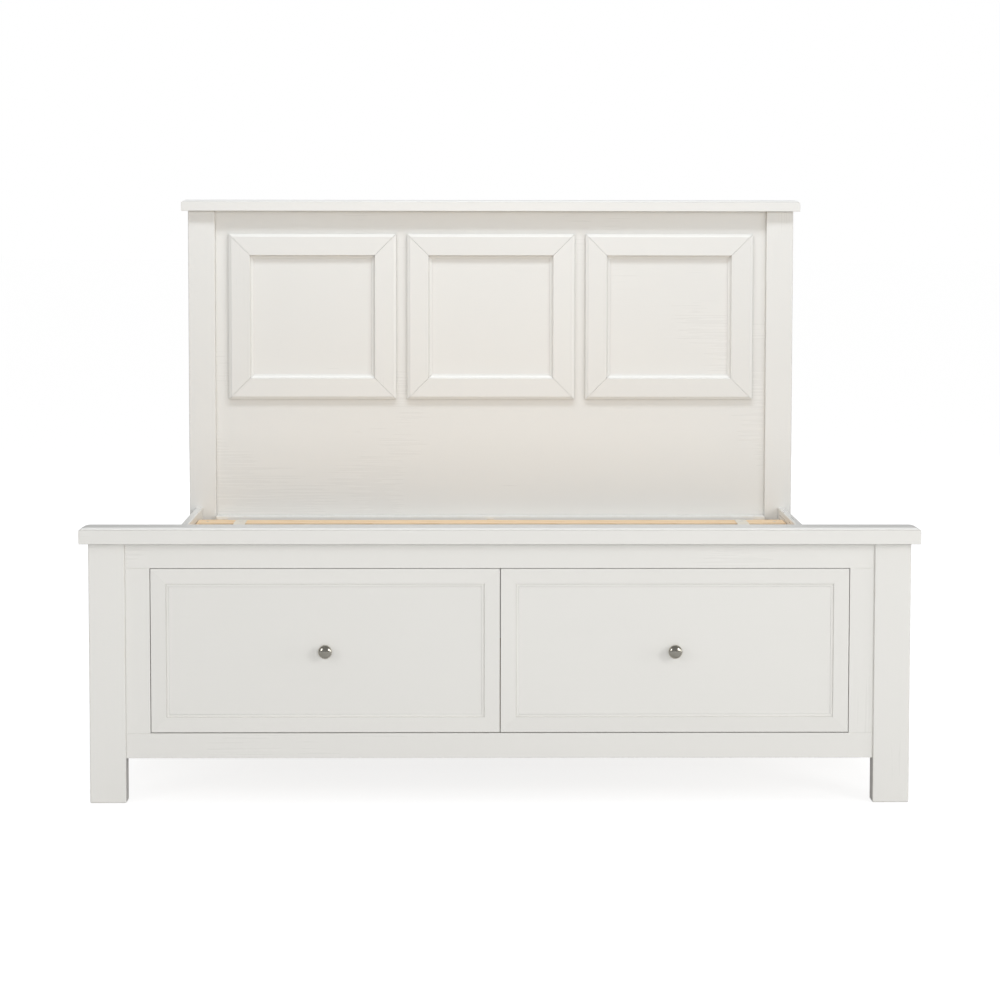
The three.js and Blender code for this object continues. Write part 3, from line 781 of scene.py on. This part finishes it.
def screw(piece, centre, direction, radius, proud):
    """A screw's head with a hexagonal socket, standing a little proud of the face it is driven into."""
    socket = radius * SOCKET_SHARE
    profile = [(AXIS, -SCREW_SUNK), (radius, -SCREW_SUNK), (radius, proud * 0.4)]
    profile += [(radius - SCREW_BEVEL, proud), (socket + SOCKET_BEVEL, proud), (socket, proud - 0.2 * MM)]
    profile += [(socket, -SCREW_SUNK / 2), (AXIS, -SCREW_SUNK / 2)]
    turned(piece, profile, centre, direction, 24, flats=(5, 6))


def bolt(piece, centre, direction):
    """A hexagon bolt head on a washer."""
    washer, washer_top, head, head_top = WASHER_RADIUS, WASHER_THICKNESS, BOLT_HEAD_RADIUS, BOLT_HEAD_TOP
    profile = [(AXIS, -0.2 * MM), (washer - 0.5 * MM, -0.2 * MM), (washer, 0.3 * MM)]
    profile += [(washer, washer_top - 0.4 * MM), (washer - 0.4 * MM, washer_top)]
    profile += [(head, washer_top), (head, head_top - 0.8 * MM)]
    profile += [(head - 0.6 * MM, head_top - 0.1 * MM), (AXIS, head_top)]
    turned(piece, profile, centre, direction, 36, flats=(5, 6))


def corner_brackets(rail_inner, head_face, foot_face):
    """An angle of steel at each corner, bolted through the side rail and screwed to the post."""
    steel, heads = Piece(), Piece()
    z_low, z_high = BRACKET_Z
    t = BRACKET_THICKNESS
    for side in (-1, 1):
        for face, inward in ((head_face, -1), (foot_face, 1)):
            x0, x1 = rail_inner - BRACKET_POST_LEG, rail_inner
            near, far = face + inward * BRACKET_GAP, face + inward * BRACKET_RAIL_LEG
            plate = near + inward * t
            outline = [(x0, near), (x1, near), (x1, far), (x1 - t, far), (x1 - t, plate), (x0, plate)]
            steel.prism([(side * x, y) for x, y in outline], "z", z_low, z_high, BRACKET_ROUND)
            for share in BRACKET_HOLE_SHARES:
                z = z_low + (z_high - z_low) * share
                rail_bolt = face + inward * BRACKET_RAIL_LEG * BRACKET_BOLT_SHARE
                post_screw = side * (x0 + BRACKET_SCREW_INSET)
                bolt(heads, (side * (x1 - t), rail_bolt, z), (-side, 0, 0))
                screw(heads, (post_screw, plate, z), (0, inward, 0), *POST_SCREW)
    steel.build("corner_brackets", ZINC, body="frame", slot="knob_metal")
    heads.build("bracket_bolts", ZINC, body="frame", slot="knob_metal")


def ledge_angles(rail_inner, ledge_bottom):
    """Small steel angles that hold the ledges to the side rails from below."""
    piece = Piece()
    t = ANGLE_THICKNESS
    for side in (-1, 1):
        for y in ANGLE_Y:
            x1, x0 = rail_inner, rail_inner - ANGLE_LEG
            z1, z0 = ledge_bottom, ledge_bottom - ANGLE_LEG
            start, end = y - ANGLE_WIDTH / 2, y + ANGLE_WIDTH / 2
            outline = [(x1, z0), (x1, z1), (x0, z1), (x0, z1 - t), (x1 - t, z1 - t), (x1 - t, z0)]
            piece.prism([(side * x, z) for x, z in outline], "y", start, end, ANGLE_ROUND)
            screw(piece, (side * (x0 + ANGLE_SCREW_INSET), y, z1 - t), (0, 0, -1), *ANGLE_SCREW)
            screw(piece, (side * (x1 - t), y, z0 + ANGLE_SCREW_INSET), (-side, 0, 0), *ANGLE_SCREW)
    piece.build("ledge_angles", ZINC, body="frame", slot="knob_metal")


def board_screws():
    """Screws through the headboard's panel, the mattress stop board and the slats' ends."""
    panel_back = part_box("head_panel")[1].y
    rail_low, rail_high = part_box("head_cross_rail")
    stop_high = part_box("mattress_stop_board")[1]
    piece = Piece()
    for x in BOARD_SCREW_X:
        screw(piece, (x, panel_back, (rail_low.z + rail_high.z) / 2), (0, 1, 0), *PANEL_SCREW)
        stop_place = (x * STOP_SCREW_SPREAD, stop_high.y, stop_high.z - STOP_SCREW_DROP)
        screw(piece, stop_place, (0, 1, 0), *PANEL_SCREW)
    piece.build("board_screws", ZINC, body="frame", slot="knob_metal")
    ends = Piece()
    for node in SLAT_NODES:
        low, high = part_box(node)
        for side in (-1, 1):
            y = (low.y + high.y) / 2 + draw.uniform(-SLAT_SCREW_SCATTER, SLAT_SCREW_SCATTER)
            screw(ends, (side * (high.x - SLAT_SCREW_INSET), y, high.z), (0, 0, 1), *SLAT_SCREW)
    ends.build("slat_screws", ZINC, body="frame", slot="knob_metal")


def drawer_screws(side):
    """The knob's screw on its washer behind the drawer front, and screws into the box's back."""
    knob_low, knob_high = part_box(f"drawer_{side}_knob")
    knob_x, knob_z = (knob_low.x + knob_high.x) / 2, (knob_low.z + knob_high.z) / 2
    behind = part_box(f"drawer_{side}_front")[1].y
    piece = Piece()
    r, top = KNOB_WASHER_RADIUS, KNOB_WASHER_THICKNESS
    washer = [(AXIS, -0.1 * MM), (r - 0.3 * MM, -0.1 * MM), (r, 0.2 * MM)]
    washer += [(r, top - 0.2 * MM), (r - 0.4 * MM, top), (AXIS, top)]
    turned(piece, washer, (knob_x, behind, knob_z), (0, 1, 0), 32)
    screw(piece, (knob_x, behind + top, knob_z), (0, 1, 0), *KNOB_SCREW)
    back_low, back_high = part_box(f"drawer_{side}_back")
    y = (back_low.y + back_high.y) / 2
    for which in ("inner", "outer"):
        low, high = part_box(f"drawer_{side}_{which}_side")
        rightward = (side == "right") == (which == "outer")
        face, direction = (high.x, 1) if rightward else (low.x, -1)
        for z in BOX_SCREW_Z:
            screw(piece, (face, y, z), (direction, 0, 0), *BOX_SCREW)
    piece.build(f"drawer_{side}_screws", ZINC, body=f"drawer_{side}", slot="knob_metal")


def fixings():
    rail_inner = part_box("side_rail_right")[0].x
    corner_brackets(rail_inner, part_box("head_post_right")[0].y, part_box("foot_post_right")[1].y)
    ledge_angles(rail_inner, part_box("slat_ledge_right")[0].z)
    board_screws()
    for side in ("left", "right"):
        drawer_screws(side)


def drawers():
    for side in ("left", "right"):
        drawer_front(side)
        drawer_side(side, "inner")
        drawer_side(side, "outer")
        plain_board(f"drawer_{side}_base", DRAWER_WOOD, "x", DRAWER_BASE_ROUND, 2)
        plain_board(f"drawer_{side}_back", DRAWER_WOOD, "x", BOX_ROUND, 2)
        knob(side)


def runners():
    """The runner boards keep their CAD shape, with their edges eased."""
    for node in ("runner_board_left", "runner_board_right", "centre_partition"):
        obj = frame["nodes"][node]
        mesh = obj.data
        grain = mesh.attributes.new("board_co", "FLOAT_VECTOR", "POINT")
        offset = Vector(draw.uniform(-9, 9) for _ in range(3))
        for vert, value in zip(mesh.vertices, grain.data):
            value.vector = offset + Vector((vert.co.y, vert.co.z, vert.co.x))
        tone = mesh.attributes.new("tone", "FLOAT", "FACE")
        tone.data.foreach_set("value", [1.0] * len(mesh.polygons))
        mesh.materials.clear()
        mesh.materials.append(DRAWER_WOOD)
        bevel = obj.modifiers.new("eased", "BEVEL")
        bevel.width = BOX_ROUND
        bevel.segments = 2
        bevel.limit_method = "ANGLE"


headboard()
foot_end()
mattress_base()
drawers()
runners()
fixings()


# ---------------------------------------------------------------- floor, light and camera


def studio_floor():
    """A pale floor. The camera sees it lit up to near white, and it throws back less light than that."""
    material = bpy.data.materials.new("pale_floor")
    material.use_nodes = True
    tree = material.node_tree
    shader = tree.nodes["Principled BSDF"]
    shader.inputs["Base Color"].default_value = (*FLOOR_COLOUR, 1)
    shader.inputs["Roughness"].default_value = 0.9
    shader.inputs["Specular IOR Level"].default_value = 0.1
    path = tree.nodes.new("ShaderNodeLightPath")
    strength = None
    for ray, glow in (("Is Camera Ray", FLOOR_GLOW), ("Is Glossy Ray", FLOOR_REFLECTED_GLOW)):
        share = tree.nodes.new("ShaderNodeMath")
        share.operation = "MULTIPLY_ADD"
        share.inputs[1].default_value = glow
        share.inputs[2].default_value = 0.0
        tree.links.new(path.outputs[ray], share.inputs[0])
        if strength:
            tree.links.new(strength, share.inputs[2])
        strength = share.outputs[0]
    glow = tree.nodes.new("ShaderNodeEmission")
    both = tree.nodes.new("ShaderNodeAddShader")
    tree.links.new(strength, glow.inputs["Strength"])
    tree.links.new(shader.outputs[0], both.inputs[0])
    tree.links.new(glow.outputs[0], both.inputs[1])
    tree.links.new(both.outputs[0], tree.nodes["Material Output"].inputs["Surface"])
    mesh = bpy.data.meshes.new("floor")
    corners = [(x * FLOOR_REACH, y * FLOOR_REACH, 0) for x, y in ((-1, -1), (1, -1), (1, 1), (-1, 1))]
    mesh.from_pydata(corners, [], [(0, 1, 2, 3)])
    mesh.materials.append(material)
    floor = bpy.data.objects.new("floor", mesh)
    floor.location.z = -FLOOR_DROP
    bpy.context.scene.collection.objects.link(floor)


def softbox(name, place, target, size, power, tint=(1, 1, 1), in_reflections=True):
    data = bpy.data.lights.new(name, "AREA")
    data.shape = "RECTANGLE"
    data.size, data.size_y = size
    data.energy = power
    data.color = tint
    lamp = bpy.data.objects.new(name, data)
    bpy.context.scene.collection.objects.link(lamp)
    lamp.location = place
    aim = Vector(target) - Vector(place)
    lamp.rotation_euler = aim.to_track_quat("-Z", "Y").to_euler()
    lamp.visible_camera = False
    lamp.visible_glossy = in_reflections


def white_surround(seen, lighting, reflected):
    """A surround that the camera sees as white, that lights the object less, and that polished
    surfaces reflect darker still."""
    world = bpy.data.worlds.new("white_surround")
    bpy.context.scene.world = world
    world.use_nodes = True
    tree = world.node_tree
    path = tree.nodes.new("ShaderNodeLightPath")
    background = tree.nodes["Background"]
    background.inputs["Color"].default_value = (lighting, lighting, lighting, 1)
    shader = background.outputs[0]
    for ray, level in (("Is Glossy Ray", reflected), ("Is Camera Ray", seen)):
        other = tree.nodes.new("ShaderNodeBackground")
        other.inputs["Color"].default_value = (level, level, level, 1)
        mix = tree.nodes.new("ShaderNodeMixShader")
        tree.links.new(path.outputs[ray], mix.inputs[0])
        tree.links.new(shader, mix.inputs[1])
        tree.links.new(other.outputs[0], mix.inputs[2])
        shader = mix.outputs[0]
    tree.links.new(shader, tree.nodes["World Output"].inputs["Surface"])


def light_studio():
    """The softboxes, each with its place, what it aims at, its size and its power in watts."""
    white_surround(SURROUND_SEEN, SURROUND_LIGHT, SURROUND_REFLECTED)
    softbox("key_right", (3.3, -4.6, 1.95), (0.1, -0.6, 0.5), (1.4, 1.9), 55)
    softbox("fill_left", (-3.3, -4.6, 1.95), (-0.1, -0.6, 0.5), (1.4, 1.9), 25)
    softbox("low_front", (0, -7.5, 1.2), (0, -0.5, 0.6), (2.5, 1.5), 157, in_reflections=False)
    softbox("graze_right", (4.8, -2.4, 1.0), (0, -0.3, 0.6), (1.3, 1.8), 26)
    softbox("over_headboard", (0, 0.12, 2.6), (0, 0.45, 0.5), (2.6, 0.35), 25, (0.93, 0.985, 1.06))
    softbox("behind", (0, 6.5, 2.2), (0, 1, 0.6), (3.5, 1.6), 85, in_reflections=False)


def place_camera():
    data = bpy.data.cameras.new("camera")
    data.lens = CAMERA_LENS
    data.sensor_width = 36
    data.shift_y = CAMERA_SHIFT
    data.clip_start, data.clip_end = 0.1, 200
    camera = bpy.data.objects.new("camera", data)
    bpy.context.scene.collection.objects.link(camera)
    yaw, pitch, roll = (math.radians(turn) for turn in (CAMERA_YAW, CAMERA_PITCH, CAMERA_ROLL))
    level = Matrix.Rotation(-yaw, 4, "Z") @ Matrix.Rotation(math.pi / 2 - pitch, 4, "X")
    camera.matrix_world = Matrix.Translation(CAMERA_PLACE) @ level @ Matrix.Rotation(roll, 4, "Z")
    bpy.context.scene.camera = camera


studio_floor()
light_studio()
place_camera()
bpy.context.scene.view_settings.view_transform = "Standard"
